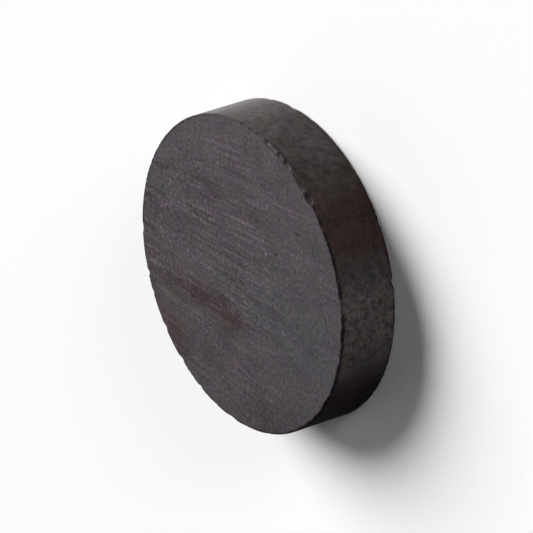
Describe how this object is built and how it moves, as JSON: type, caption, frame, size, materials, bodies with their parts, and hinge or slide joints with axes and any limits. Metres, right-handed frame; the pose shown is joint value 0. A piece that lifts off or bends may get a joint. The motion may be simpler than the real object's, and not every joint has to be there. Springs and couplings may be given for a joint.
{
  "type": "disc magnet",
  "caption": "Plain round hard-ferrite disc magnet with ground flat pole faces, an as-sintered rim and a lightly chipped edge.",
  "frame": {"origin": "centre of the pole face that the disc lies on", "axes": "+Z along the disc's own axis, out of the upper pole face, which is also the way it is magnetised; +X and +Y lie in the pole face, and the deepest chip in the upper edge is 61.5 degrees from +X towards -Y"},
  "size_m": [0.025, 0.025, 0.005],
  "materials": {
    "ferrite": "matte"
  },
  "bodies": {
    "root": {"disc": "ferrite"}
  },
  "joints": []
}
